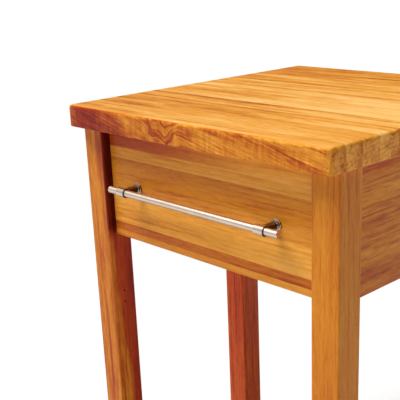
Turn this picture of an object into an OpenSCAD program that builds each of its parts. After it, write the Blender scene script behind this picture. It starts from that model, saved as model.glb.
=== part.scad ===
// Butcher block table with one drawer on roller slides.
// +Z is up, the drawer opens towards -Y, and the origin is on the floor under the middle of the table.

/* [Overall] */
// Width of the top, left to right
top_w = 584; // [500:1:760]
// Depth of the top, front to back
top_d = 616; // [500:1:800]
// Height of the worktop above the floor
table_h = 914; // [720:1:1100]

/* [Top] */
// Thickness of the top
top_t = 38; // [30:1:60]
// Radius of the rounded upper edge
top_edge_r = 6; // [2:0.5:8]
// Radius of the corners seen from above
top_corner_r = 9; // [4:1:20]
// How far the top stands past the legs at each side
side_overhang = 6; // [2:1:40]
// How far the top stands past the front legs
front_overhang = 27; // [10:1:60]
// How far the top reaches past the rear legs
rear_overhang = 202; // [20:1:250]

/* [Legs and feet] */
// Side of the square legs
leg = 50; // [42:1:60]
// Radius of the eased edges along the legs
leg_edge_r = 3; // [1:0.5:6]
// Diameter of the feet
foot_d = 24; // [16:1:30]
// Thickness of the feet
foot_t = 4; // [3:0.5:8]
// Diameter of the two small holes in the inner face of each front leg
peg_hole_d = 4; // [3:0.5:6]
// Depth of these holes
peg_hole_depth = 20; // [10:1:30]
// Distance from one hole to the other
peg_hole_pitch = 22; // [16:1:40]
// Drop from the top's underside to the upper hole
peg_hole_drop = 313; // [270:1:500]

/* [Frame] */
// Thickness of the side and rear aprons
apron_t = 20; // [16:1:24]
// How far the aprons are set in from the legs' outer faces
apron_reveal = 5; // [2:1:8]
// Thickness of the two front rails
rail_t = 16; // [14:1:20]
// Height of each front rail
rail_h = 28; // [24:1:32]
// Diameter of the dowels in the frame joints
dowel_d = 8; // [6:1:10]
// Length of these dowels
dowel_l = 36; // [24:1:40]
// Reach of the rear corner blocks along the aprons
block_reach = 40; // [30:1:50]
// Height of the corner blocks
block_h = 36; // [28:1:38]

/* [Drawer] */
// Height of the drawer front
front_h = 195; // [160:1:260]
// Thickness of the drawer front
front_t = 19; // [16:1:24]
// How far the drawer front is set in from the legs' front faces
front_recess = 15; // [4:1:18]
// Gap between the drawer front and the legs and top
front_gap = 3; // [2:0.5:5]
// Free space over the drawer box
box_top_gap = 15; // [8:1:40]
// Thickness of the box's boards
board_t = 12; // [10:1:16]
// Thickness of the box's bottom
bottom_t = 6; // [4:0.5:9]
// Free space behind the closed drawer box
back_space = 28; // [24:1:60]

/* [Slides] */
// Room for a slide between the box and the frame
slide_t = 12.7; // [12.5:0.1:16]
// Thickness of the slides' sheet steel
steel_t = 1.2; // [1:0.1:1.4]
// Diameter of the rollers on the frame
cabinet_roller_d = 18; // [14:1:19]
// Diameter of the rollers on the drawer
drawer_roller_d = 22; // [21:0.1:27]
// Width of the rollers
roller_w = 8; // [6:0.5:8]
// Diameter of the roller pins
roller_pin_d = 5; // [4:0.5:6]

/* [Handle] */
// Length of the bar
bar_l = 389; // [340:1:440]
// Diameter of the bar
bar_d = 12; // [10:1:16]
// Distance between the posts
post_spacing = 320; // [192:1:330]
// Distance from the drawer front to the bar's centre
bar_standoff = 34; // [30:1:60]
// Diameter of the posts' feet
post_foot_d = 18; // [14:1:24]
// Diameter of the posts' necks
post_neck_d = 13; // [8:1:14]
// Length of the rings round the bar
ring_l = 18; // [16:1:26]
// Wall of these rings
ring_wall = 2; // [1.5:0.5:4]

/* [Hidden] */
$fn = 48;

// Colours of the finished pieces
top_wood = "#e09a4c";
leg_wood = "#bd6f2b";
front_wood = "#bf7a2e";
frame_wood = "#a8602c";
box_wood = "#d9b27c";
nickel = "#cfcac0";
zinc = "#9a9c9e";
slide_paint = "#e9e6dd";
nylon = "#f2f0ea";
rubber = "#3a3733";

// Clearances
glue_line = 0.05;    // round a dowel
screw_fit = 0.1;     // round a screw
bore_fit = 0.05;     // between a pin or bar and its bore
panel_fit = 0.25;    // round the drawer bottom in its groove
roller_gap = 0.3;    // between a roller and what runs on it
side_play = 0.5;     // beside a roller
eps = 0.01;          // cutters reach this far past a face

// Heights
top_z = table_h - top_t;                       // underside of the top
front_z0 = top_z - front_gap - front_h;        // lower edge of the drawer front
rail_drop = 3;                                 // the frame ends this much above the drawer front
frame_z0 = front_z0 + rail_drop;
box_lift = 9;                                  // from the lower rail to the drawer box
box_z0 = frame_z0 + rail_h + box_lift;
box_h = top_z - rail_h - box_top_gap - box_z0;
handle_z = front_z0 + front_h / 2;

// Places across the table
leg_x = top_w / 2 - side_overhang - leg / 2;   // middle of the legs
open_x = leg_x - leg / 2;                      // inner faces of the legs
apron_x = leg_x + leg / 2 - apron_reveal - apron_t;  // inner faces of the side aprons
box_x = open_x - slide_t;                      // outer faces of the drawer box

// Places from front to back
ring_d = bar_d + 2 * ring_wall;
bar_proud = max(0, bar_standoff + ring_d / 2 - front_overhang - front_recess);
top_y0 = bar_proud - (top_d + bar_proud) / 2;  // front edge of the top
face_y = top_y0 + front_overhang;              // front faces of the front legs
rear_y = top_y0 + top_d - rear_overhang;       // rear faces of the rear legs
front_y = face_y + front_recess;               // face of the drawer front
box_y0 = front_y + front_t;                    // front end of the drawer box
bumper_t = 1.7;
bumper_d = 10;
rail_y = box_y0 + bumper_t + roller_gap;       // front faces of the rails
apron_y = rear_y - apron_reveal - apron_t;     // inner face of the rear apron
box_y1 = apron_y - back_space;                 // rear end of the drawer box
side_y0 = face_y + leg;                        // ends of the side aprons
side_y1 = rear_y - leg;
post_x = post_spacing / 2;

// Drawer box joints
tails = 4;
tail_pitch = box_h / tails;
tail_share = 0.36;                             // of the pitch
tail_slope = 1 / 6;
tail_end = tail_pitch * tail_share;            // half width at the tip
tail_root = tail_end - board_t * tail_slope;   // half width at the shoulder
groove_depth = 6;
groove_lift = 8;

// Slides: heights from the channel's floor, places along Y
channel_drop = 0.8;                            // from the drawer box to the channel's floor
channel_floor = box_z0 - channel_drop;
channel_h = drawer_roller_d + 2 * roller_gap;
flange_w = 10.5;
roller_lift = 0.5;                             // under the frame's rollers
cabinet_axle_z = channel_floor + roller_lift + cabinet_roller_d / 2;
drawer_axle_z = channel_floor + roller_gap + drawer_roller_d / 2;
runner_z = cabinet_axle_z + cabinet_roller_d / 2 + roller_gap;
cabinet_axle_inset = 12;
drawer_axle_inset = 14;
cabinet_axle_y = rail_y + cabinet_axle_inset;
drawer_axle_y = box_y1 - drawer_axle_inset;
runner_stop = 2;                               // from the runner's end to the drawer's roller
web_h = 30;                                    // height of the drawer slides' webs
web_x = box_x + steel_t;                       // outer face of the drawer slide's web
channel_x = open_x - steel_t;                  // inner face of the channel's web
pin_head_t = 0.7;
pin_head_d = roller_pin_d + 3;
packer_drop = 13;                              // the packers start this much below the channels
packer_z0 = channel_floor - packer_drop;
packer_h = 60;
packer_screw_z = packer_z0 + packer_h - 10;
dish_depth = 1;                                // of the rollers' hollow faces
roller_rim = 2.5;

// Feet
foot_ease = 1;                                 // height of the sloped rim
foot_recess = 1;                               // under the head of the screw

// Fasteners: diameter and length of each kind
box_screw = [4, 26];
slide_screw = [3.5, groove_lift];
packer_screw = [4, 38];
foot_screw = [3.5, 22];
clip_screw = [4, 24];
apron_screw = [4, 14];
post_screw = [4, board_t + front_t + 9];
lag = [6, 52];
clip_w = 25;
clip_leg = 20;
clip_hole = 12;                                // from the clip's bend to its holes
clip_t = 1.5;
clip_inset = 40;
clip_spread = 80;
front_screw_x = post_x + 25;
front_screw_inset = 24;
packer_screw_inset = 30;
drawer_screw_inset = 50;
cabinet_screw_front = 14;
cabinet_screw_rear = 60;
bumper_inset = 20;
dowel_inset = 22;
rail_dowel_inset = 7.5;

// ---- shapes that repeat ----

// A rounded rectangle, centred, with true arcs
module rounded_rect(w, d, r) {
    square([w - 2 * r, d], center = true);
    square([w, d - 2 * r], center = true);
    for (sx = [-1, 1], sy = [-1, 1])
        translate([sx * (w / 2 - r), sy * (d / 2 - r)]) circle(r = r);
}

// A countersunk screw pointing down from z = 0; grow makes its hole
module csk_screw(size, grow = 0) {
    d = size[0];
    l = size[1];
    rotate_extrude()
        polygon([
            [0, grow > 0 ? eps : 0],
            [d + grow, grow > 0 ? eps : 0],
            [d + grow, -grow],
            [d / 2 + grow, -d / 2 - grow],
            [d / 2 + grow, d - l],
            [0.3, -l - grow],
            [0, -l - grow]
        ]);
}

// A screw with a flat round head standing on z = 0 and its shank pointing down
module pan_screw(size, grow = 0) {
    d = size[0];
    l = size[1];
    head_d = 2.2 * d;
    head_h = 0.5 * d;
    rotate_extrude()
        polygon([
            [0, head_h],
            [head_d / 2 - 0.6, head_h],
            [head_d / 2, head_h - 0.6],
            [head_d / 2, 0],
            [d / 2 + grow, 0],
            [d / 2 + grow, d - l],
            [0.3, -l - grow],
            [0, -l - grow]
        ]);
}

module cross_slot(d, depth) {
    for (a = [0, 90])
        rotate([0, 0, a]) cube([d, d * 0.2, 2 * depth], center = true);
}

module both_sides() {
    children();
    mirror([1, 0, 0]) children();
}

// ---- places that several pieces share ----

module at_legs() {
    for (sx = [-1, 1], y = [face_y + leg / 2, rear_y - leg / 2])
        translate([sx * leg_x, y, 0]) children();
}

// Dowels of one side of the frame; the other side is the mirror image
module dowels_right(grow = 0) {
    r = dowel_d / 2 + grow;
    l = dowel_l + 2 * grow;
    heights = [frame_z0 + dowel_inset, (frame_z0 + top_z) / 2, top_z - dowel_inset - rail_dowel_inset];
    for (y = [side_y0, side_y1], z = heights)
        translate([apron_x + apron_t / 2, y, z]) rotate([90, 0, 0]) cylinder(r = r, h = l, center = true);
    for (z = heights)
        translate([open_x, apron_y + apron_t / 2, z])
            rotate([0, 90, 0]) cylinder(r = r, h = l, center = true);
    for (z0 = [frame_z0, top_z - rail_h], z = [rail_dowel_inset, rail_h - rail_dowel_inset])
        translate([open_x, rail_y + rail_t / 2, z0 + z])
            rotate([0, 90, 0]) cylinder(r = r, h = l, center = true);
}

module frame_dowel_holes() {
    both_sides() dowels_right(glue_line);
}

// Each clip stands in the angle of an apron and the top, with +Y away from the apron
module at_clips() {
    for (y = [side_y0 + clip_inset, side_y1 - block_reach - clip_w]) {
        translate([-apron_x, y, top_z]) rotate([0, 0, -90]) children();
        translate([apron_x, y, top_z]) rotate([0, 0, 90]) children();
    }
    for (x = [-clip_spread, clip_spread]) {
        translate([x, apron_y, top_z]) rotate([0, 0, 180]) children();
        translate([x, rail_y + rail_t, top_z]) children();
    }
}

module top_clip_screw(grow = 0) {
    translate([0, clip_hole, -clip_t]) rotate([180, 0, 0]) pan_screw(clip_screw, grow);
}

module apron_clip_screw(grow = 0) {
    translate([0, clip_t, -clip_hole]) rotate([-90, 0, 0]) pan_screw(apron_screw, grow);
}

module packer_screws_right(grow = 0) {
    for (y = [side_y0 + packer_screw_inset, (side_y0 + side_y1) / 2, side_y1 - packer_screw_inset])
        translate([open_x, y, packer_screw_z]) rotate([0, -90, 0]) csk_screw(packer_screw, grow);
}

module cabinet_slide_screws_right(grow = 0) {
    for (y = [side_y0 + cabinet_screw_front, side_y1 - cabinet_screw_rear])
        translate([channel_x, y, channel_floor + channel_h / 2])
            rotate([0, -90, 0]) csk_screw(slide_screw, grow);
}

module drawer_slide_screws_right(grow = 0) {
    for (y = [box_y0 + drawer_screw_inset, box_y1 - drawer_screw_inset])
        translate([box_x - board_t / 2, y, box_z0 - steel_t])
            rotate([180, 0, 0]) csk_screw(slide_screw, grow);
}

module front_screws(grow = 0) {
    for (sx = [-1, 1], z = [box_z0 + front_screw_inset, box_z0 + box_h - front_screw_inset])
        translate([sx * front_screw_x, box_y0 + board_t, z]) rotate([-90, 0, 0]) csk_screw(box_screw, grow);
}

module post_screws(grow = 0) {
    for (sx = [-1, 1])
        translate([sx * post_x, box_y0 + board_t, handle_z]) rotate([-90, 0, 0]) pan_screw(post_screw, grow);
}

// ---- the top ----

module butcher_block_top() {
    color(top_wood)
    difference() {
        translate([0, top_y0 + top_d / 2, top_z])
        intersection() {
            linear_extrude(top_t) rounded_rect(top_w, top_d, top_corner_r);
            rotate([90, 0, 0]) linear_extrude(top_d + 2, center = true) top_section(top_w);
            rotate([90, 0, 90]) linear_extrude(top_w + 2, center = true) top_section(top_d);
        }
        at_clips() top_clip_screw(screw_fit);
    }
}

// Section through the top: square below, rounded above
module top_section(w) {
    r = top_edge_r;
    translate([-w / 2, 0]) square([w, top_t - r]);
    translate([-w / 2 + r, 0]) square([w - 2 * r, top_t]);
    for (sx = [-1, 1])
        translate([sx * (w / 2 - r), top_t - r]) circle(r = r);
}

// ---- legs and feet ----

module leg_stock(x, y) {
    difference() {
        translate([x, y, foot_t]) linear_extrude(top_z - foot_t) rounded_rect(leg, leg, leg_edge_r);
        frame_dowel_holes();
        at_legs() foot_screw_place() csk_screw(foot_screw, screw_fit);
    }
}

module front_leg(side) {
    color(leg_wood)
    difference() {
        leg_stock(side * leg_x, face_y + leg / 2);
        for (i = [0, 1])
            translate([side * open_x, face_y + leg / 2, top_z - peg_hole_drop - i * peg_hole_pitch])
                rotate([0, side * 90, 0])
                    translate([0, 0, -eps]) cylinder(d = peg_hole_d, h = peg_hole_depth);
    }
}

module rear_leg(side) {
    color(leg_wood)
    difference() {
        leg_stock(side * leg_x, rear_y - leg / 2);
        both_sides() corner_lag(screw_fit);
    }
}

module leg_front_left() { front_leg(-1); }
module leg_front_right() { front_leg(1); }
module leg_rear_left() { rear_leg(-1); }
module leg_rear_right() { rear_leg(1); }

module foot_screw_place() {
    translate([0, 0, foot_recess]) rotate([180, 0, 0]) children();
}

module leg_feet() {
    color(nylon)
    at_legs()
    difference() {
        union() {
            cylinder(d1 = foot_d - 2 * foot_ease, d2 = foot_d, h = foot_ease);
            translate([0, 0, foot_ease]) cylinder(d = foot_d, h = foot_t - foot_ease);
        }
        foot_screw_place() csk_screw(foot_screw, screw_fit);
        translate([0, 0, -eps]) cylinder(r = foot_screw[0] + screw_fit, h = foot_recess + 2 * eps);
    }
}

module foot_screws() {
    color(zinc)
    at_legs() foot_screw_place()
    difference() {
        csk_screw(foot_screw);
        cross_slot(foot_screw[0], 1);
    }
}

// ---- frame ----

module side_apron(side) {
    color(frame_wood)
    difference() {
        translate([side > 0 ? apron_x : -apron_x - apron_t, side_y0, frame_z0])
            cube([apron_t, side_y1 - side_y0, top_z - frame_z0]);
        frame_dowel_holes();
        both_sides() packer_screws_right(screw_fit);
        at_clips() apron_clip_screw(screw_fit);
    }
}

module side_apron_left() { side_apron(-1); }
module side_apron_right() { side_apron(1); }

module rear_apron() {
    color(frame_wood)
    difference() {
        translate([-open_x, apron_y, frame_z0]) cube([2 * open_x, apron_t, top_z - frame_z0]);
        frame_dowel_holes();
        at_clips() apron_clip_screw(screw_fit);
    }
}

module front_rail(z0) {
    color(frame_wood)
    difference() {
        translate([-open_x, rail_y, z0]) cube([2 * open_x, rail_t, rail_h]);
        frame_dowel_holes();
        at_clips() apron_clip_screw(screw_fit);
    }
}

module front_top_rail() { front_rail(top_z - rail_h); }
module front_bottom_rail() { front_rail(frame_z0); }

module frame_dowels() {
    color(box_wood) both_sides() dowels_right();
}

// The rear corner blocks wrap the legs' inner corners
module corner_lag(grow = 0) {
    // the long face runs at 45 degrees; d is its distance from the leg's inner corner
    d = (block_reach - (apron_x - open_x)) / sqrt(2);
    translate([open_x, side_y1, top_z - block_h / 2])
        rotate([0, 0, 45]) translate([-d, 0, 0]) rotate([0, -90, 0]) pan_screw(lag, grow);
}

module corner_block_shape() {
    side = apron_x - open_x;
    back = apron_y - side_y1;
    translate([open_x, side_y1, top_z - block_h])
        linear_extrude(block_h)
            polygon([[side, -block_reach], [side, 0], [0, 0], [0, back], [-block_reach, back]]);
}

module corner_block(side) {
    color(box_wood)
    mirror([side > 0 ? 0 : 1, 0, 0])
    difference() {
        corner_block_shape();
        corner_lag(screw_fit);
    }
}

module corner_block_left() { corner_block(-1); }
module corner_block_right() { corner_block(1); }

module corner_block_lags() {
    color(zinc) both_sides() corner_lag();
}

// ---- what holds the top down ----

module top_clips() {
    color(zinc)
    at_clips()
    difference() {
        union() {
            translate([-clip_w / 2, 0, -clip_leg]) cube([clip_w, clip_t, clip_leg]);
            translate([-clip_w / 2, 0, -clip_t]) cube([clip_w, clip_leg, clip_t]);
        }
        translate([0, clip_hole, -clip_t / 2]) clip_slot();
        translate([0, clip_t / 2, -clip_hole]) rotate([90, 0, 0])
            cylinder(d = apron_screw[0] + 0.6, h = clip_t + 1, center = true);
    }
}

// Slot that lets the top move across its width
module clip_slot() {
    reach = 3;
    d = clip_screw[0] + 0.6;
    cube([2 * reach, d, clip_t + 1], center = true);
    for (sx = [-1, 1])
        translate([sx * reach, 0, 0]) cylinder(d = d, h = clip_t + 1, center = true);
}

module top_clip_screws() {
    color(zinc) at_clips() top_clip_screw();
}

module apron_clip_screws() {
    color(zinc) at_clips() apron_clip_screw();
}

// ---- slides on the frame ----

module slide_packer(side) {
    color(frame_wood)
    mirror([side > 0 ? 0 : 1, 0, 0])
    difference() {
        translate([open_x, side_y0, packer_z0]) cube([apron_x - open_x, side_y1 - side_y0, packer_h]);
        packer_screws_right(screw_fit);
        cabinet_slide_screws_right(screw_fit);
    }
}

module slide_packer_left() { slide_packer(-1); }
module slide_packer_right() { slide_packer(1); }

module packer_screws() {
    color(zinc) both_sides() packer_screws_right();
}

// A channel, open towards the drawer, that the drawer's roller runs in
module cabinet_slide(side) {
    color(slide_paint)
    mirror([side > 0 ? 0 : 1, 0, 0])
    difference() {
        translate([open_x - flange_w, rail_y, channel_floor - steel_t])
            cube([flange_w, box_y1 - rail_y, channel_h + 2 * steel_t]);
        translate([open_x - flange_w - 1, rail_y - 1, channel_floor])
            cube([flange_w + 1 - steel_t, box_y1 - rail_y + 2, channel_h]);
        translate([channel_x - eps, cabinet_axle_y, cabinet_axle_z])
            rotate([0, 90, 0]) cylinder(d = roller_pin_d + 2 * bore_fit, h = steel_t + 2 * eps);
        cabinet_slide_screws_right(screw_fit);
    }
}

module cabinet_slide_left() { cabinet_slide(-1); }
module cabinet_slide_right() { cabinet_slide(1); }

module cabinet_slide_screws() {
    color(zinc) both_sides() cabinet_slide_screws_right();
}

// A nylon roller with a shallow dish in each face, lying along X from x = 0
module roller(d) {
    rotate([0, 90, 0])
    difference() {
        cylinder(d = d, h = roller_w);
        translate([0, 0, -eps]) cylinder(d = roller_pin_d + 2 * bore_fit, h = roller_w + 2 * eps);
        for (z = [-eps, roller_w - dish_depth])
            translate([0, 0, z])
            difference() {
                cylinder(d = d - 2 * roller_rim, h = dish_depth + eps);
                translate([0, 0, -eps]) cylinder(d = pin_head_d, h = dish_depth + 3 * eps);
            }
    }
}

module cabinet_roller(side) {
    color(nylon)
    mirror([side > 0 ? 0 : 1, 0, 0])
        translate([channel_x - side_play - roller_w, cabinet_axle_y, cabinet_axle_z])
            roller(cabinet_roller_d);
}

module cabinet_roller_left() { cabinet_roller(-1); }
module cabinet_roller_right() { cabinet_roller(1); }

module cabinet_roller_pins() {
    head_x = channel_x - side_play - roller_w - roller_gap;
    color(zinc)
    both_sides()
    translate([0, cabinet_axle_y, cabinet_axle_z]) rotate([0, 90, 0]) {
        translate([0, 0, head_x]) cylinder(d = roller_pin_d, h = open_x - head_x);
        translate([0, 0, head_x - pin_head_t]) cylinder(d = pin_head_d, h = pin_head_t);
    }
}

// ---- drawer box ----

// Tails cut on one end of a side board; dir points from the shoulder to the tip
module tails_right(shoulder_y, dir) {
    for (i = [0 : tails - 1])
        translate([box_x - board_t, shoulder_y, box_z0 + (i + 0.5) * tail_pitch])
            rotate([90, 0, 90]) linear_extrude(board_t)
                polygon([
                    [0, -tail_root], [dir * board_t, -tail_end],
                    [dir * board_t, tail_end], [0, tail_root]
                ]);
}

module bottom_panel(grow = 0) {
    reach = groove_depth - panel_fit + grow;
    translate([-box_x + board_t - reach, box_y0 + board_t - reach, box_z0 + groove_lift])
        cube([
            2 * (box_x - board_t + reach),
            box_y1 - box_y0 - 2 * (board_t - reach),
            bottom_t + grow
        ]);
}

module drawer_side(side) {
    color(box_wood)
    mirror([side > 0 ? 0 : 1, 0, 0])
    difference() {
        union() {
            translate([box_x - board_t, box_y0 + board_t, box_z0])
                cube([board_t, box_y1 - box_y0 - 2 * board_t, box_h]);
            tails_right(box_y0 + board_t, -1);
            tails_right(box_y1 - board_t, 1);
        }
        bottom_panel(panel_fit);
        drawer_slide_screws_right(screw_fit);
    }
}

module drawer_side_left() { drawer_side(-1); }
module drawer_side_right() { drawer_side(1); }

module drawer_inner_front() {
    color(box_wood)
    difference() {
        translate([-box_x, box_y0, box_z0]) cube([2 * box_x, board_t, box_h]);
        both_sides() tails_right(box_y0 + board_t, -1);
        bottom_panel(panel_fit);
        front_screws(screw_fit);
        post_screws(screw_fit);
    }
}

module drawer_back() {
    color(box_wood)
    difference() {
        translate([-box_x, box_y1 - board_t, box_z0]) cube([2 * box_x, board_t, box_h]);
        both_sides() tails_right(box_y1 - board_t, 1);
        bottom_panel(panel_fit);
    }
}

module drawer_bottom() {
    color(box_wood) bottom_panel();
}

// The front panel, its long edges eased
module drawer_front() {
    w = 2 * (open_x - front_gap);
    ease = 1.5;
    color(front_wood)
    difference() {
        translate([-w / 2, front_y, front_z0]) cube([w, front_t, front_h]);
        for (z = [front_z0, front_z0 + front_h])
            translate([0, front_y, z]) rotate([45, 0, 0])
                cube([w + 2, ease * sqrt(2), ease * sqrt(2)], center = true);
        front_screws(screw_fit);
        post_screws(screw_fit);
    }
}

module drawer_front_screws() {
    color(zinc) front_screws();
}

module drawer_bumpers() {
    color(rubber)
    for (sx = [-1, 1], z = [frame_z0 + rail_h / 2, top_z - rail_h / 2])
        translate([sx * (open_x - bumper_inset), box_y0, z])
            rotate([-90, 0, 0]) cylinder(d = bumper_d, h = bumper_t);
}

// ---- slides on the drawer ----

// Sheet steel folded under the side board, with a runner that rides on the frame's roller
module drawer_slide(side) {
    runner_w = channel_x - side_play - web_x;
    runner_end = drawer_axle_y - drawer_roller_d / 2 - runner_stop;
    color(slide_paint)
    mirror([side > 0 ? 0 : 1, 0, 0])
    difference() {
        union() {
            translate([box_x, rail_y, box_z0 - steel_t]) cube([steel_t, box_y1 - rail_y, web_h]);
            translate([box_x - board_t, rail_y, box_z0 - steel_t])
                cube([board_t + steel_t, box_y1 - rail_y, steel_t]);
            translate([box_x, rail_y, runner_z])
                cube([steel_t + runner_w, runner_end - rail_y, steel_t]);
        }
        translate([box_x - eps, drawer_axle_y, drawer_axle_z])
            rotate([0, 90, 0]) cylinder(d = roller_pin_d + 2 * bore_fit, h = steel_t + 2 * eps);
        drawer_slide_screws_right(screw_fit);
    }
}

module drawer_slide_left() { drawer_slide(-1); }
module drawer_slide_right() { drawer_slide(1); }

module drawer_slide_screws() {
    color(zinc) both_sides() drawer_slide_screws_right();
}

module drawer_roller(side) {
    color(nylon)
    mirror([side > 0 ? 0 : 1, 0, 0])
        translate([web_x + side_play, drawer_axle_y, drawer_axle_z]) roller(drawer_roller_d);
}

module drawer_roller_left() { drawer_roller(-1); }
module drawer_roller_right() { drawer_roller(1); }

module drawer_roller_pins() {
    head_x = web_x + side_play + roller_w + roller_gap;
    color(zinc)
    both_sides()
    translate([0, drawer_axle_y, drawer_axle_z]) rotate([0, 90, 0]) {
        translate([0, 0, box_x]) cylinder(d = roller_pin_d, h = head_x - box_x);
        translate([0, 0, head_x]) cylinder(d = pin_head_d, h = pin_head_t);
    }
}

// ---- handle ----

module handle_bar() {
    chamfer = 1;
    color(nickel)
    translate([0, front_y - bar_standoff, handle_z])
    rotate([0, 90, 0])
    rotate_extrude()
        polygon([
            [0, -bar_l / 2],
            [bar_d / 2 - chamfer, -bar_l / 2],
            [bar_d / 2, -bar_l / 2 + chamfer],
            [bar_d / 2, bar_l / 2 - chamfer],
            [bar_d / 2 - chamfer, bar_l / 2],
            [0, bar_l / 2]
        ]);
}

// Foot with a groove, neck, and a ring that holds the bar
module handle_post(side) {
    foot_h = 6;
    groove = 1;
    color(nickel)
    translate([side * post_x, front_y, handle_z])
    difference() {
        union() {
            rotate([90, 0, 0])
            rotate_extrude()
                polygon([
                    [0, 0],
                    [post_foot_d / 2, 0],
                    [post_foot_d / 2, foot_h / 3],
                    [post_foot_d / 2 - groove, foot_h / 3 + groove / 2],
                    [post_foot_d / 2 - groove, foot_h * 2 / 3 - groove / 2],
                    [post_foot_d / 2 - groove / 2, foot_h * 2 / 3],
                    [post_foot_d / 2 - groove / 2, foot_h - 1],
                    [post_neck_d / 2, foot_h],
                    [post_neck_d / 2, bar_standoff],
                    [0, bar_standoff]
                ]);
            translate([0, -bar_standoff, 0]) rotate([0, 90, 0])
                cylinder(d = ring_d, h = ring_l, center = true);
        }
        translate([0, -bar_standoff, 0]) rotate([0, 90, 0])
            cylinder(d = bar_d + 2 * bore_fit, h = ring_l + 2, center = true);
        translate([0, board_t + front_t, 0]) rotate([-90, 0, 0]) pan_screw(post_screw, screw_fit);
    }
}

module handle_post_left() { handle_post(-1); }
module handle_post_right() { handle_post(1); }

module handle_screws() {
    color(zinc) post_screws();
}

butcher_block_top();
leg_front_left();
leg_front_right();
leg_rear_left();
leg_rear_right();
leg_feet();
foot_screws();
side_apron_left();
side_apron_right();
rear_apron();
front_top_rail();
front_bottom_rail();
frame_dowels();
corner_block_left();
corner_block_right();
corner_block_lags();
top_clips();
top_clip_screws();
apron_clip_screws();
slide_packer_left();
slide_packer_right();
packer_screws();
cabinet_slide_left();
cabinet_slide_right();
cabinet_slide_screws();
cabinet_roller_left();
cabinet_roller_right();
cabinet_roller_pins();
drawer_front();
drawer_inner_front();
drawer_side_left();
drawer_side_right();
drawer_back();
drawer_bottom();
drawer_front_screws();
drawer_bumpers();
drawer_slide_left();
drawer_slide_right();
drawer_slide_screws();
drawer_roller_left();
drawer_roller_right();
drawer_roller_pins();
handle_bar();
handle_post_left();
handle_post_right();
handle_screws();
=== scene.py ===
# Butcher block table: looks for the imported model, piece by piece, in the order it is put together.
import math

import bmesh
import bpy
from mathutils import Matrix, Vector


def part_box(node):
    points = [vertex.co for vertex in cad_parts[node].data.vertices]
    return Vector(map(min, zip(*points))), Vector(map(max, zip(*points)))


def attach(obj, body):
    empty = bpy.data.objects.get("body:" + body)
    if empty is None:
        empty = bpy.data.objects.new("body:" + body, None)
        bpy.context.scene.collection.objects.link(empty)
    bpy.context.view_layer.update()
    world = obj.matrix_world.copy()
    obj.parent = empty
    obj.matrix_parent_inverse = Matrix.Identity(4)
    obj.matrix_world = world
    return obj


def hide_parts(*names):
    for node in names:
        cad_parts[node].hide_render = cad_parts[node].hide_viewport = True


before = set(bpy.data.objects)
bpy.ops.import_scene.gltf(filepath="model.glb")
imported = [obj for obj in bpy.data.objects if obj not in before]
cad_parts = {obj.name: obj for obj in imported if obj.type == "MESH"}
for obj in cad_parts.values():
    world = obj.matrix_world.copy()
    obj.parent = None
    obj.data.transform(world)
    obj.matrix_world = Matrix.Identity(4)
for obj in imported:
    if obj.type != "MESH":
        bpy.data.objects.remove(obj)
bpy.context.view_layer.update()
MM = 0.001


# ---- The top -------------------------------------------------------------------------------
# Strips of pale honey-coloured hardwood run from left to right and are glued edge to edge.
# The upper edge is rounded over, the corners are softened, and the whole is varnished.

def shade(code):
    """A hex colour as the linear RGBA that shaders take."""
    parts = [int(code[i:i + 2], 16) / 255 for i in (1, 3, 5)]
    return [p / 12.92 if p <= 0.04045 else ((p + 0.055) / 1.055) ** 2.4 for p in parts] + [1.0]


def place(tree, kind, feeds=None, **settings):
    """Adds one shader node; feeds go to its sockets, as numbers or as links."""
    made = tree.nodes.new("ShaderNode" + kind)
    for option, value in settings.items():
        setattr(made, option, value)
    for socket, value in (feeds or {}).items():
        if isinstance(value, bpy.types.NodeSocket):
            tree.links.new(value, made.inputs[socket])
        else:
            made.inputs[socket].default_value = value
    return made


def sums(tree, operation, *values):
    """One arithmetic node; values are numbers or links."""
    made = place(tree, "Math", dict(enumerate(values)), operation=operation)
    return made.outputs[0]


def step(tree, value, low, high, to_low=0.0, to_high=1.0):
    """A smooth step: to_low up to the value low, and to_high from the value high on."""
    feeds = {"Value": value, "From Min": low, "From Max": high, "To Min": to_low, "To Max": to_high}
    return place(tree, "MapRange", feeds, interpolation_type="SMOOTHSTEP").outputs[0]


def streaks(tree, position, along, across, detail=3.0, rough=0.55):
    """Noise drawn out along the grain; along and across are cycles in a metre."""
    feeds = {0: position, 1: (along, across, across)}
    stretched = place(tree, "VectorMath", feeds, operation="MULTIPLY").outputs[0]
    feeds = {"Vector": stretched, "Scale": 1.0, "Detail": detail, "Roughness": rough}
    return place(tree, "TexNoise", feeds).outputs["Fac"]


def new_group(name, takes, gives):
    """An empty node group, from (label, kind, usual value) and (label, kind) of its sockets."""
    group = bpy.data.node_groups.new(name, "ShaderNodeTree")
    for label, kind, usual in takes:
        socket = group.interface.new_socket(label, in_out="INPUT", socket_type="NodeSocket" + kind)
        if usual is not None:
            socket.default_value = usual
    for label, kind in gives:
        group.interface.new_socket(label, in_out="OUTPUT", socket_type="NodeSocket" + kind)
    given = group.nodes.new("NodeGroupInput").outputs
    wanted = group.nodes.new("NodeGroupOutput").inputs
    return group, given, wanted


# How far the pith leans from board to board, and how far the rings wander, in metres
DRIFT = 0.06
WARP = 0.018
# For each direction across the grain: how far off the pith may lie, and the middle of that range
PITHS = ((1, 0.16, -0.5), (2, 0.10, -1.15))


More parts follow.
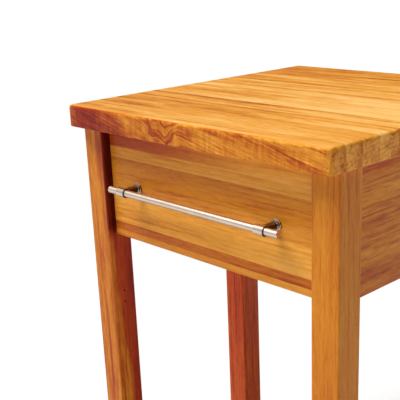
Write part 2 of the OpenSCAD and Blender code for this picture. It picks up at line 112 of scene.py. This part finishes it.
def make_wood_figure():
    """Growth rings round a pith that lies off the board, with fibres, flecks and clouding."""
    takes = [("Position", "Vector", None), ("Seed", "Float", 0.0), ("Ring Width", "Float", 0.005)]
    labels = ("Late Wood", "Fibre", "Flecks", "Cloud", "Wisps")
    group, given, wanted = new_group("wood figure", takes, [(label, "Float") for label in labels])
    chance = place(group, "TexWhiteNoise", {"W": given["Seed"]}, noise_dimensions="1D")
    chance = chance.outputs["Color"]
    shift = place(group, "VectorMath", {0: chance, 1: (9.0, 9.0, 9.0)}, operation="MULTIPLY").outputs[0]
    moved = place(group, "VectorMath", {0: given["Position"], 1: shift}, operation="ADD").outputs[0]
    luck = place(group, "SeparateXYZ", {0: chance}).outputs
    here = place(group, "SeparateXYZ", {0: given["Position"]}).outputs
    feeds = {0: moved, 1: (2.4, 11.0, 11.0)}
    slow = place(group, "VectorMath", feeds, operation="MULTIPLY").outputs[0]
    wander = place(group, "TexNoise", {"Vector": slow, "Scale": 1.0, "Detail": 4.0}).outputs["Color"]
    wander = place(group, "SeparateXYZ", {0: wander}).outputs
    lean = sums(group, "MULTIPLY", sums(group, "SUBTRACT", luck[2], 0.5), DRIFT)
    radii = []
    for axis, reach, seat in PITHS:
        pith = sums(group, "MULTIPLY", sums(group, "ADD", luck[axis - 1], seat), reach)
        bent = sums(group, "MULTIPLY", sums(group, "SUBTRACT", wander[axis], 0.5), WARP)
        side = sums(group, "ADD", sums(group, "ADD", here[axis], pith), bent)
        side = sums(group, "MULTIPLY_ADD", here[0], lean, side)
        radii.append(sums(group, "MULTIPLY", side, side))
    radius = sums(group, "SQRT", sums(group, "ADD", *radii))
    turn = sums(group, "FRACT", sums(group, "DIVIDE", radius, given["Ring Width"]))
    rise = step(group, turn, 0.3, 0.85)
    late = sums(group, "MULTIPLY", rise, step(group, turn, 0.85, 1.0, 1.0, 0.0))
    patches = step(group, streaks(group, moved, 3.0, 40.0, 1.0), 0.38, 0.62)
    late = sums(group, "MULTIPLY", late, patches)
    fibre = streaks(group, moved, 45.0, 360.0, 4.0, 0.65)
    flecks = step(group, streaks(group, moved, 50.0, 620.0, 2.0), 0.58, 0.70)
    cloud = streaks(group, moved, 3.4, 30.0, 3.0)
    wisps = step(group, streaks(group, moved, 7.0, 120.0, 4.0, 0.6), 0.50, 0.68)
    for label, value in zip(labels, (late, fibre, flecks, cloud, wisps)):
        group.links.new(value, wanted[label])
    return group


def make_edge_wear_and_highlight_mask():
    """A mask that rises along edges, broken up so that it isn't even: worn edges on plain finishes,
    and a painted highlight along the edges of wood.
    """
    takes = [("Reach", "Float", 0.0012), ("Position", "Vector", None)]
    group, given, wanted = new_group("edge wear and painted highlight", takes, [("Mask", "Float")])
    rounded = place(group, "Bevel", {"Radius": given["Reach"]}, samples=4).outputs[0]
    normal = place(group, "NewGeometry").outputs["Normal"]
    match = place(group, "VectorMath", {0: rounded, 1: normal}, operation="DOT_PRODUCT").outputs["Value"]
    mask = step(group, match, 0.995, 0.90)
    patchy = step(group, streaks(group, given["Position"], 30.0, 60.0, 2.0), 0.35, 0.65, 0.35, 1.0)
    group.links.new(sums(group, "MULTIPLY", mask, patchy), wanted["Mask"])
    return group


wood_figure = make_wood_figure()
edge_wear_and_highlight = make_edge_wear_and_highlight_mask()
# From tone 0, the palest wood, to tone 1, the darkest
HONEY = [(0.0, "#f8c271"), (0.28, "#eaa03a"), (0.5, "#ce7e1e"), (0.72, "#b04e11"), (1.0, "#741a08")]
HEART = [(0.0, "#de8838"), (0.3, "#c4591c"), (0.55, "#a8380c"), (0.78, "#862008"), (1.0, "#500e04")]
# How to turn each direction of grain so that it runs along X
TURNS = {"x": (0.0, 0.0, 0.0), "y": (0.0, 0.0, -math.pi / 2), "z": (0.0, math.pi / 2, 0.0)}
# How much each part of the figure darkens the wood, and the value from which it counts
FIGURE_PARTS = {
    "Late Wood": (0.10, 0.0), "Fibre": (0.46, 0.5), "Cloud": (0.60, 0.5), "Flecks": (0.10, 0.0),
    "Wisps": (0.16, 0.0),
}
# How much these change the tone
GLUE_LINE = 0.07
END_GRAIN = 0.14
# Paler wood along the edges: a painted highlight
PAINTED_EDGE_HIGHLIGHT = -0.10
# The bend of grain that isn't bent
STRAIGHT = (0.0, 0.0, 0.0)


def attribute(tree, name):
    """A value stored on the mesh."""
    return place(tree, "Attribute", attribute_type="GEOMETRY", attribute_name=name).outputs["Fac"]


def colour_ramp(tree, value, palette):
    """The colour that a palette gives for a tone."""
    ramp = place(tree, "ValToRGB", {"Fac": value})
    stops = ramp.color_ramp.elements
    while len(stops) < len(palette):
        stops.new(0.5)
    for stop, (at, code) in zip(stops, palette):
        stop.position = at
        stop.color = shade(code)
    return ramp.outputs[0]


def bare_material(name):
    """A new material without nodes, and its tree."""
    material = bpy.data.materials.new(name)
    material.use_nodes = True
    material.node_tree.nodes.clear()
    return material, material.node_tree


def blend(tree, share, first, second):
    """A mix of two colours."""
    return place(tree, "Mix", {0: share, 6: first, 7: second}, data_type="RGBA").outputs[2]


def varnished_wood(name, grain="x", tone=0.4, seed=1.0, ring=0.005, boards=False, palette=HONEY,
                   gloss=0.34, contrast=1.0, extra=None):
    """Wood under varnish. With boards, tone and seed change from strip to strip. From a
    position, extra gives a change of tone, a bend of the grain and a share of red heartwood."""
    material, tree = bare_material(name)
    spot = place(tree, "TexCoord").outputs
    turned = place(tree, "Mapping", {"Vector": spot["Object"], "Rotation": TURNS[grain]}).outputs[0]
    if boards:
        seed = attribute(tree, "board_seed")
        tone = attribute(tree, "board_tone")
    heart = None
    if extra:
        more_tone, bend, heart = extra(tree, spot["Object"])
        tone = sums(tree, "ADD", tone, more_tone)
        turned = place(tree, "VectorMath", {0: turned, 1: bend}, operation="ADD").outputs[0]
    feeds = {"Position": turned, "Seed": seed, "Ring Width": ring}
    figure = place(tree, "Group", feeds, node_tree=wood_figure).outputs
    for label, (weight, middle) in FIGURE_PARTS.items():
        part = sums(tree, "SUBTRACT", figure[label], middle)
        tone = sums(tree, "MULTIPLY_ADD", part, weight * contrast, tone)
    if boards:
        across = attribute(tree, "across")
        edge = attribute(tree, "board_streak")
        dark_side = sums(tree, "MULTIPLY", step(tree, across, 0.45, 1.0), edge)
        uneven = step(tree, figure["Cloud"], 0.25, 0.75, 0.5, 1.3)
        dark_side = sums(tree, "MULTIPLY", dark_side, uneven)
        middle = sums(tree, "ABSOLUTE", sums(tree, "SUBTRACT", across, 0.5))
        glue = step(tree, middle, 0.484, 0.499)
        tone = sums(tree, "ADD", tone, dark_side)
        tone = sums(tree, "MULTIPLY_ADD", glue, GLUE_LINE, tone)
    flat = place(tree, "Mapping", {"Vector": spot["Normal"], "Rotation": TURNS[grain]}).outputs[0]
    end_on = sums(tree, "ABSOLUTE", place(tree, "SeparateXYZ", {0: flat}).outputs[0])
    tone = sums(tree, "MULTIPLY_ADD", step(tree, end_on, 0.5, 0.95), END_GRAIN, tone)
    # Painted highlight: the wood is paler along its edges
    wear_and_highlight = place(tree, "Group", {"Position": turned}, node_tree=edge_wear_and_highlight).outputs["Mask"]
    tone = sums(tree, "MULTIPLY_ADD", wear_and_highlight, PAINTED_EDGE_HIGHLIGHT, tone)
    base = colour_ramp(tree, tone, palette)
    if heart is not None:
        base = blend(tree, heart, base, colour_ramp(tree, tone, HEART))
    roughness = sums(tree, "MULTIPLY_ADD", figure["Fibre"], 0.16, gloss - 0.08)
    raised = sums(tree, "MULTIPLY_ADD", figure["Fibre"], 0.6, figure["Late Wood"])
    height = sums(tree, "MULTIPLY_ADD", figure["Flecks"], -0.8, raised)
    bump = place(tree, "Bump", {"Strength": 0.18, "Distance": 0.0004, "Height": height}).outputs[0]
    shader = place(tree, "BsdfPrincipled", {
        "Base Color": base, "Roughness": roughness, "Normal": bump,
        "Coat Weight": 0.06, "Coat Roughness": 0.18, "Specular IOR Level": 0.10,
    })
    place(tree, "OutputMaterial", {"Surface": shader.outputs[0]})
    return material


# Flat faces in each rounding: at an upright corner, along an upper edge and along an eased edge
CORNER_FACES = 7
OVER_FACES = 6
EASE_FACES = 2
# From one board of a panel to the next
SEED_STEP = 1.37


def glued_panel(name, low, high, boards, across, ease, corner=0.0, over=0.0):
    """A panel of boards glued edge to edge, from (width in mm, tone, dark edge) for each board,
    laid side by side in the direction across. ease rounds all edges; where corner is given, it
    rounds the upright ones, over the upper ones and ease the lower ones."""
    mesh = bpy.data.meshes.new(name)
    shape = bmesh.new()
    bmesh.ops.create_cube(shape, size=1.0)
    middle = (low + high) / 2
    size = high - low
    for vertex in shape.verts:
        vertex.co = Vector(middle[i] + vertex.co[i] * size[i] for i in range(3))

    def soften(chosen, radius, faces):
        bmesh.ops.bevel(shape, geom=chosen, offset=radius, segments=faces, profile=0.5,
                        affect="EDGES")

    if corner:
        near = 1e-6
        upright = [e for e in shape.edges if abs((e.verts[0].co - e.verts[1].co).z) > size.z / 2]
        soften(upright, corner, CORNER_FACES)
        upper = [e for e in shape.edges if min(v.co.z for v in e.verts) > high.z - near]
        soften(upper, over, OVER_FACES)
        lower = [e for e in shape.edges if max(v.co.z for v in e.verts) < low.z + near]
        soften(lower, ease, EASE_FACES)
    else:
        soften(list(shape.edges), ease, EASE_FACES)
    total = sum(width for width, _tone, _streak in boards)
    lines = [low[across]]
    for width, _tone, _streak in boards:
        lines.append(lines[-1] + width / total * size[across])
    direction = Vector((0, 0, 0))
    direction[across] = 1.0
    for line in lines[1:-1]:
        point = middle.copy()
        point[across] = line
        everything = list(shape.verts) + list(shape.edges) + list(shape.faces)
        bmesh.ops.bisect_plane(shape, geom=everything, plane_co=point, plane_no=direction)
    shape.to_mesh(mesh)
    shape.free()
    keys = ("board_seed", "board_tone", "board_streak")
    kept = {key: mesh.attributes.new(key, "FLOAT", "FACE") for key in keys}
    side = mesh.attributes.new("across", "FLOAT", "CORNER")
    # The length of its name gives each panel its own grain
    first_seed = len(name)
    for face in mesh.polygons:
        face.use_smooth = True
        here = sum(1 for line in lines[1:-1] if line < face.center[across])
        kept["board_seed"].data[face.index].value = here * SEED_STEP + first_seed
        kept["board_tone"].data[face.index].value = boards[here][1]
        kept["board_streak"].data[face.index].value = boards[here][2]
        for loop in face.loop_indices:
            at = mesh.vertices[mesh.loops[loop].vertex_index].co[across]
            side.data[loop].value = (at - lines[here]) / (lines[here + 1] - lines[here])
    piece = bpy.data.objects.new(name, mesh)
    bpy.context.scene.collection.objects.link(piece)
    piece.modifiers.new("even shading", "WEIGHTED_NORMAL").keep_sharp = True
    return piece


def top_figure(tree, position):
    """The top pales a little to the right and the rear, a painted sheen. Its front edge has dark
    heartwood near the left end, a swirl of grain beside it, and a faint curl all along."""
    low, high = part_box("butcher_block_top")
    here = place(tree, "SeparateXYZ", {0: position}).outputs

    def from_left(value, start, end, first, last):
        """Goes from first to last between two distances from the left end, in metres."""
        return step(tree, value, low.x + start, low.x + end, first, last)

    in_front = step(tree, here[1], low.y + 0.004, low.y + 0.0015, 0.0, 1.0)
    # Dark heartwood with ragged ends, which thins out towards the right
    cloud = place(tree, "TexNoise", {"Vector": position, "Scale": 28.0, "Detail": 2.0}).outputs["Fac"]
    ragged = sums(tree, "MULTIPLY_ADD", sums(tree, "SUBTRACT", cloud, 0.5), 0.06, here[0])
    dark = from_left(ragged, 0.004, 0.034, 0.3, 1.0)
    dark = sums(tree, "MULTIPLY", dark, from_left(ragged, 0.072, 0.10, 1.0, 0.6))
    dark = sums(tree, "MULTIPLY", dark, from_left(ragged, 0.13, 0.165, 1.0, 0.0))
    # The swirl
    swirl_middle = low.x + 0.252
    gap = sums(tree, "ABSOLUTE", sums(tree, "SUBTRACT", ragged, swirl_middle))
    swirl = step(tree, gap, 0.016, 0.05, 1.0, 0.0)
    # Curl: fine tilted bands across the grain
    tilted = place(tree, "Mapping", {"Vector": position, "Rotation": (0.0, 0.6, 0.0),
                                     "Scale": (130.0, 10.0, 34.0)}).outputs[0]
    curl = place(tree, "TexNoise", {"Vector": tilted, "Scale": 1.0, "Detail": 3.0}).outputs["Fac"]
    # The front edge is browner right of the swirl and paler from the middle on
    browning = sums(tree, "ADD", from_left(here[0], 0.26, 0.31, 0.11, 0.17),
                    from_left(here[0], 0.40, 0.50, 0.0, -0.13))
    more = sums(tree, "MULTIPLY_ADD", dark, 0.12, sums(tree, "MULTIPLY_ADD", swirl, 0.06, browning))
    more = sums(tree, "MULTIPLY_ADD", sums(tree, "SUBTRACT", curl, 0.5), 0.42, more)
    # Everywhere else, a painted sheen: paler to the right and towards the rear
    paling = step(tree, here[0], low.x + 0.10, high.x, 0.0, -0.14)
    paling = sums(tree, "ADD", paling, step(tree, here[1], low.y + 0.30, high.y, 0.0, -0.12))
    more = place(tree, "Mix", {0: in_front, 2: paling, 3: more}).outputs[0]
    # The grain of the front edge rises to the right, and bulges at the swirl
    slope = sums(tree, "MULTIPLY", sums(tree, "SUBTRACT", here[0], swirl_middle), 0.22)
    lift = sums(tree, "MULTIPLY_ADD", sums(tree, "MULTIPLY", swirl, cloud), 0.04, slope)
    lift = sums(tree, "MULTIPLY", lift, in_front)
    heart = sums(tree, "MULTIPLY", dark, in_front)
    return more, place(tree, "CombineXYZ", {2: lift}).outputs[0], heart


# Front to back: width in mm, tone, and how dark the strip's far edge is
TOP_BOARDS = [
    (31, 0.32, 0.14), (36, 0.25, 0.18), (38, 0.34, 0.0), (27, 0.32, 0.08), (24, 0.33, 0.16),
    (42, 0.24, 0.34), (38, 0.14, 0.0), (38, 0.18, 0.0), (29, 0.15, 0.10), (45, 0.08, 0.38),
    (37, 0.22, 0.0), (27, 0.20, 0.24), (36, 0.34, 0.08), (28, 0.24, 0.20), (30, 0.38, 0.0),
    (27, 0.40, 0.34), (38, 0.48, 0.0), (45, 0.44, 0.0),
]
top_low, top_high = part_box("butcher_block_top")
top = glued_panel("top_of_glued_strips", top_low, top_high, TOP_BOARDS, 1,
                  ease=1.2 * MM, corner=9 * MM, over=6 * MM)
top.data.materials.append(varnished_wood("top_strips", ring=0.006, boards=True, extra=top_figure,
                                         gloss=0.36, contrast=1.5))
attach(top, "table")
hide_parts("butcher_block_top")


# ---- The legs ------------------------------------------------------------------------------
# Four square legs, each sawn from one piece with its grain upright and its edges eased.
# Heartwood shows red on some of their faces.

def dress(names, material):
    """Gives CAD pieces their finish."""
    for name in names.split():
        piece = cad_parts[name]
        for holder in piece.material_slots:
            holder.material = material


def heart_inside(tree, position):
    """Red heartwood comes out on the left leg's inner face, towards the rear. The inner face has a
    little painted shade, and much more painted shade in the narrow recess beside the drawer."""
    low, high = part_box("leg_front_left")
    here = place(tree, "SeparateXYZ", {0: position}).outputs
    inner = step(tree, here[0], high.x - 0.004, high.x - 0.001)
    # The red starts nearer to the front edge higher up the leg, along a wandering line
    wander = streaks(tree, position, 60.0, 12.0, 3.0)
    depth = sums(tree, "MULTIPLY_ADD", sums(tree, "SUBTRACT", wander, 0.5), 0.016, here[1])
    height = step(tree, here[2], 0.30, 0.66, 0.024, 0.001)
    share = step(tree, sums(tree, "SUBTRACT", depth, height), low.y, low.y + 0.011)
    share = sums(tree, "MULTIPLY", inner, share)
    # Painted shade: a little over the whole inner face, and more in the recess, which starts at about
    # the height of the drawer front's lower edge
    recess = sums(tree, "MULTIPLY", step(tree, here[2], 0.665, 0.70, 0.0, 0.34), inner)
    more = sums(tree, "MULTIPLY_ADD", inner, 0.02, recess)
    return more, STRAIGHT, share


def heart_in_front(leg_name):
    """A rear leg is red heartwood at its front right edge and pales towards its rear left."""
    low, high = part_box(leg_name)

    def figure(tree, position):
        here = place(tree, "SeparateXYZ", {0: position}).outputs
        behind = sums(tree, "SUBTRACT", here[1], low.y)
        away = sums(tree, "ADD", behind, sums(tree, "SUBTRACT", high.x, here[0]))
        wander = streaks(tree, position, 90.0, 6.0, 3.0)
        away = sums(tree, "MULTIPLY_ADD", wander, 0.03, away)
        return 0.0, STRAIGHT, step(tree, away, 0.05, 0.10, 0.95, 0.1)

    return figure


def leg_wood(name, tone, seed, **details):
    """The material of one leg, with upright grain."""
    return varnished_wood(name, grain="z", tone=tone, seed=seed, ring=0.007, **details)


dress("leg_front_left", leg_wood("front_left_leg_wood", 0.57, 3.1, extra=heart_inside))
dress("leg_front_right", leg_wood("front_right_leg_wood", 0.52, 5.7, contrast=0.7))
dress("leg_rear_left", leg_wood("rear_left_leg_wood", 0.48, 8.3,
                                extra=heart_in_front("leg_rear_left")))
dress("leg_rear_right", leg_wood("rear_right_leg_wood", 0.46, 9.9,
                                 extra=heart_in_front("leg_rear_right")))


# ---- The feet ------------------------------------------------------------------------------
# Nylon pads, moulded pale grey-white, each held under its leg by one zinc-plated screw.

def make_mottle():
    """Soft unevenness for moulded, plated and enamelled surfaces."""
    takes = [("Position", "Vector", None), ("Size", "Float", 120.0)]
    group, given, wanted = new_group("mottle", takes, [("Broad", "Float"), ("Fine", "Float")])
    feeds = {"Vector": given["Position"], "Scale": given["Size"], "Detail": 3.0}
    broad = place(group, "TexNoise", feeds).outputs["Fac"]
    feeds["Scale"] = sums(group, "MULTIPLY", given["Size"], 14.0)
    fine = place(group, "TexNoise", feeds).outputs["Fac"]
    group.links.new(broad, wanted["Broad"])
    group.links.new(fine, wanted["Fine"])
    return group


mottle = make_mottle()


def even_finish(name, colour, second, roughness, metal=0.0, size=120.0, wear=0.15, wear_and_highlight="#ffffff"):
    """A plain finish with a little variation in colour and gloss, and with worn edges."""
    material, tree = bare_material(name)
    spot = place(tree, "TexCoord").outputs["Object"]
    cloud = place(tree, "Group", {"Position": spot, "Size": size}, node_tree=mottle).outputs
    edges = place(tree, "Group", {"Position": spot, "Reach": 0.0005}, node_tree=edge_wear_and_highlight).outputs
    base = blend(tree, step(tree, cloud["Broad"], 0.3, 0.7), shade(colour), shade(second))
    base = blend(tree, sums(tree, "MULTIPLY", edges["Mask"], wear), base, shade(wear_and_highlight))
    rough = sums(tree, "MULTIPLY_ADD", cloud["Broad"], 0.16, roughness - 0.08)
    feeds = {"Strength": 0.05, "Distance": 0.0002, "Height": cloud["Fine"]}
    relief = place(tree, "Bump", feeds).outputs[0]
    shader = place(tree, "BsdfPrincipled", {"Base Color": base, "Roughness": rough, "Normal": relief,
                                            "Metallic": metal})
    place(tree, "OutputMaterial", {"Surface": shader.outputs[0]})
    return material


nylon = even_finish("nylon_moulding", "#efece4", "#e2ded3", 0.45)
zinc = even_finish("zinc_plate", "#b9bcbf", "#9ea3a8", 0.32, metal=1.0, size=260.0, wear_and_highlight="#e8e8e8")
dress("leg_feet", nylon)
dress("foot_screws", zinc)


# ---- The frame under the top ---------------------------------------------------------------
# The aprons are glued up from strips like the drawer front; the two front rails are single
# pieces. Beech dowels and screwed corner blocks hold the joints, out of sight.

APRON_BOARDS = [(38, 0.52, 0.10), (44, 0.60, 0.0), (36, 0.46, 0.12), (40, 0.56, 0.0), (37, 0.50, 0.0)]
for apron_name, swap in (("side_apron_left", 0), ("side_apron_right", 1), ("rear_apron", 2)):
    order = APRON_BOARDS[swap:] + APRON_BOARDS[:swap]
    letter = "x" if apron_name == "rear_apron" else "y"
    apron_low, apron_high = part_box(apron_name)
    apron = glued_panel(apron_name + "_strips", apron_low, apron_high, order, 2, ease=0.8 * MM)
    apron.data.materials.append(varnished_wood(apron_name + "_wood", grain=letter, boards=True,
                                               ring=0.007))
    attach(apron, "table")
    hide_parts(apron_name)

dress("front_top_rail front_bottom_rail",
      varnished_wood("rail_wood", grain="x", tone=0.6, seed=14.0, ring=0.006))
dress("slide_packer_left slide_packer_right",
      varnished_wood("packer_wood", grain="y", tone=0.55, seed=15.0, ring=0.006))
BEECH = [(0.0, "#f0d9b0"), (0.35, "#e3c190"), (0.65, "#cfa26c"), (1.0, "#a5743f")]
dress("corner_block_left corner_block_right frame_dowels",
      varnished_wood("beech", grain="x", tone=0.3, seed=17.0, ring=0.004, palette=BEECH, gloss=0.5))
dress("corner_block_lags top_clips top_clip_screws apron_clip_screws packer_screws", zinc)


# ---- The slides ----------------------------------------------------------------------------
# Folded sheet steel under white enamel, with nylon rollers on riveted pins. One half of each
# slide is screwed to the frame and the other to the drawer.

enamel = even_finish("white_enamel", "#ece9e1", "#e0dcd2", 0.30, size=90.0, wear=0.35, wear_and_highlight="#b4b2ab")
dress("cabinet_slide_left cabinet_slide_right drawer_slide_left drawer_slide_right", enamel)
dress("cabinet_roller_left cabinet_roller_right drawer_roller_left drawer_roller_right", nylon)
dress("cabinet_roller_pins drawer_roller_pins cabinet_slide_screws drawer_slide_screws", zinc)


# ---- The drawer box ------------------------------------------------------------------------
# Pale maple boards, dovetailed at the four corners, with a plywood bottom let into a groove.

MAPLE = [(0.0, "#f3e0bd"), (0.35, "#e8cc9c"), (0.65, "#d3ab73"), (1.0, "#ad7d48")]
# Node, direction of its grain, and seed
BOX_BOARDS = (
    ("drawer_side_left", "y", 21.0), ("drawer_side_right", "y", 22.5), ("drawer_back", "x", 24.0),
    ("drawer_inner_front", "x", 25.5), ("drawer_bottom", "x", 27.0),
)
for box_node, letter, box_seed in BOX_BOARDS:
    maple = varnished_wood(box_node + "_maple", grain=letter, tone=0.3, seed=box_seed, ring=0.006,
                           palette=MAPLE, gloss=0.42, contrast=0.8)
    dress(box_node, maple)
dress("drawer_front_screws handle_screws", zinc)
rubber = even_finish("bumper_rubber", "#33302d", "#403c38", 0.75)
dress("drawer_bumpers", rubber)


# ---- The drawer front ----------------------------------------------------------------------
# Strips glued edge to edge like the top, with their grain level. It is screwed on from inside.

def front_figure(tree, position):
    """The front pales a little to the right. Its uppermost strip does so strongly: at the left end it
    has red heartwood and painted shade under the top, both fading towards the right."""
    low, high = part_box("drawer_front")
    here = place(tree, "SeparateXYZ", {0: position}).outputs
    # The uppermost strip is 30 mm high
    upper = step(tree, here[2], high.z - 0.034, high.z - 0.028, 0.0, 1.0)
    # Painted shade under the top: the uppermost strip is darkest at its left end
    painted_top_shade = step(tree, here[0], low.x + 0.03, high.x - 0.08, 0.0, -0.22)
    paling = step(tree, here[0], low.x + 0.10, high.x, 0.0, -0.06)
    heart = step(tree, here[0], low.x + 0.08, high.x - 0.10, 0.8, 0.0)
    heart = sums(tree, "MULTIPLY", upper, heart)
    return sums(tree, "MULTIPLY_ADD", upper, painted_top_shade, paling), STRAIGHT, heart


# Bottom to top: width in mm, tone, and how dark the strip's upper edge is
FRONT_BOARDS = [
    (12, 0.45, 0.0), (15, 0.70, 0.0), (49, 0.34, 0.0), (34, 0.50, 0.0), (35, 0.53, 0.0),
    (20, 0.31, 0.0), (30, 0.56, 0.0),
]
front_low, front_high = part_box("drawer_front")
front = glued_panel("drawer_front_strips", front_low, front_high, FRONT_BOARDS, 2, ease=1.2 * MM)
front.data.materials.append(varnished_wood("drawer_front_wood", boards=True, ring=0.008,
                                           extra=front_figure, contrast=0.75))
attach(front, "drawer")
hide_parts("drawer_front")


# ---- The handle ----------------------------------------------------------------------------
# A round bar in satin nickel, held in the rings of two turned posts.

# Two close colours that cloud into each other, and the dark colour of painted shade and reflection
NICKEL = ("#e6d5c3", "#d3bfac")
PAINTED_SHADE = "#3a2a22"


def satin_nickel(name, roughness, tarnished):
    """Brushed plating, darkened by painted shade and dark reflection where the position and
    the normal call for it.
    """
    material, tree = bare_material(name)
    spot = place(tree, "TexCoord").outputs
    brushed = streaks(tree, spot["Object"], 30.0, 2600.0, 2.0)
    feeds = {"Position": spot["Object"], "Size": 60.0}
    cloud = place(tree, "Group", feeds, node_tree=mottle).outputs["Broad"]
    base = blend(tree, cloud, shade(NICKEL[0]), shade(NICKEL[1]))
    base = blend(tree, tarnished(tree, spot["Object"], spot["Normal"]), base, shade(PAINTED_SHADE))
    rough = sums(tree, "MULTIPLY_ADD", brushed, 0.14, roughness)
    relief = place(tree, "Bump", {"Strength": 0.05, "Distance": 0.0001, "Height": brushed}).outputs[0]
    shader = place(tree, "BsdfPrincipled", {"Base Color": base, "Metallic": 1.0, "Roughness": rough,
                                            "Normal": relief})
    place(tree, "OutputMaterial", {"Surface": shader.outputs[0]})
    return material


def painted_underside_shade(tree, position, normal):
    """Painted shade and dark reflection on the faces that look down."""
    facing = place(tree, "SeparateXYZ", {0: normal}).outputs[2]
    return step(tree, facing, -0.05, -0.75, 0.0, 0.55)


def painted_post_shade(tree, position, normal):
    """Painted shade and dark reflection at the ends of the rings, on the necks behind the bar and
    on the faces that look down.
    """
    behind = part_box("handle_bar")[1].y
    # The shoulder of the round foot
    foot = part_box("handle_post_left")[1].y - 0.005
    depth = place(tree, "SeparateXYZ", {0: position}).outputs[1]
    neck = step(tree, depth, behind + 0.001, behind + 0.004, 0.0, 0.62)
    neck = sums(tree, "MULTIPLY", neck, step(tree, depth, foot, foot + 0.0015, 1.0, 0.25))
    sideways = place(tree, "SeparateXYZ", {0: normal}).outputs[0]
    ring_end_shade = step(tree, sums(tree, "ABSOLUTE", sideways), 0.55, 0.9, 0.0, 0.95)
    darkest = sums(tree, "MAXIMUM", neck, ring_end_shade)
    return sums(tree, "MAXIMUM", darkest, painted_underside_shade(tree, position, normal))


dress("handle_bar", satin_nickel("bar_nickel", 0.26, painted_underside_shade))
dress("handle_post_left handle_post_right", satin_nickel("post_nickel", 0.18, painted_post_shade))


# ---- The studio ----------------------------------------------------------------------------
# A plain pale floor under one broad light from the upper left, with a weak even fill. A long
# lens looks down on the table from the front right.

FLOOR_RADIUS = 60.0
FLOOR_SIDES = 64


def floor_sheet():
    mesh = bpy.data.meshes.new("floor")
    shape = bmesh.new()
    ring = []
    for i in range(FLOOR_SIDES):
        angle = i / FLOOR_SIDES * math.tau
        corner = (FLOOR_RADIUS * math.cos(angle), FLOOR_RADIUS * math.sin(angle), 0.0)
        ring.append(shape.verts.new(corner))
    shape.faces.new(ring)
    shape.to_mesh(mesh)
    shape.free()
    piece = bpy.data.objects.new("floor", mesh)
    bpy.context.scene.collection.objects.link(piece)
    paper = bpy.data.materials.new("pale_paper")
    paper.use_nodes = True
    shader = paper.node_tree.nodes["Principled BSDF"]
    shader.inputs["Base Color"].default_value = (0.80, 0.80, 0.80, 1.0)
    shader.inputs["Roughness"].default_value = 0.9
    shader.inputs["Specular IOR Level"].default_value = 0.1
    mesh.materials.append(paper)


def broad_light(direction, strength, spread):
    """A sun; spread is its width in the sky, in degrees."""
    light = bpy.data.lights.new("broad_light", "SUN")
    light.energy = strength
    light.angle = math.radians(spread)
    holder = bpy.data.objects.new("broad_light", light)
    holder.location = Vector(direction) * 3.0
    holder.rotation_euler = Vector(direction).to_track_quat("Z", "Y").to_euler()
    bpy.context.scene.collection.objects.link(holder)


def fill_light(seen, mirrored, mirrored_low, strength):
    """Surroundings that light the table evenly with strength, look as bright as seen, and in
    reflections go from mirrored_low at the sides to mirrored overhead."""
    world = bpy.data.worlds.new("studio")
    world.use_nodes = True
    tree = world.node_tree
    background = tree.nodes["Background"]
    background.inputs["Color"].default_value = (1.0, 1.0, 1.0, 1.0)
    rays = place(tree, "LightPath").outputs
    level = sums(tree, "MULTIPLY_ADD", rays["Is Camera Ray"], seen - strength, strength)
    way = place(tree, "TexCoord").outputs["Generated"]
    overhead = place(tree, "VectorMath", {0: way, 1: (-0.3, -0.25, 0.92)}, operation="DOT_PRODUCT")
    gloss = step(tree, overhead.outputs["Value"], 0.1, 0.75, mirrored_low - strength,
                 mirrored - strength)
    level = sums(tree, "MULTIPLY_ADD", rays["Is Glossy Ray"], gloss, level)
    tree.links.new(level, background.inputs["Strength"])
    bpy.context.scene.world = world


floor_sheet()
broad_light(direction=(-0.30, -0.36, 0.88), strength=3.85, spread=34)
fill_light(seen=1.0, mirrored=0.7, mirrored_low=0.04, strength=0.2)
bpy.context.scene.view_settings.view_transform = "Standard"

# The lens is shifted because the table stands off the middle of the view
camera_data = bpy.data.cameras.new("camera")
camera_data.lens = 74.67
camera_data.sensor_width = 36.0
camera_data.shift_x = -0.0375
camera_data.shift_y = 0.075
camera = bpy.data.objects.new("camera", camera_data)
turn = Matrix.Rotation(math.radians(46.83), 4, "Z")
tilt = Matrix.Rotation(math.radians(90 - 18.06), 4, "X")
roll = Matrix.Rotation(math.radians(-2.23), 4, "Z")
camera.matrix_world = Matrix.Translation((0.9352, -1.1168, 1.1451)) @ turn @ tilt @ roll
bpy.context.scene.collection.objects.link(camera)
bpy.context.scene.camera = camera
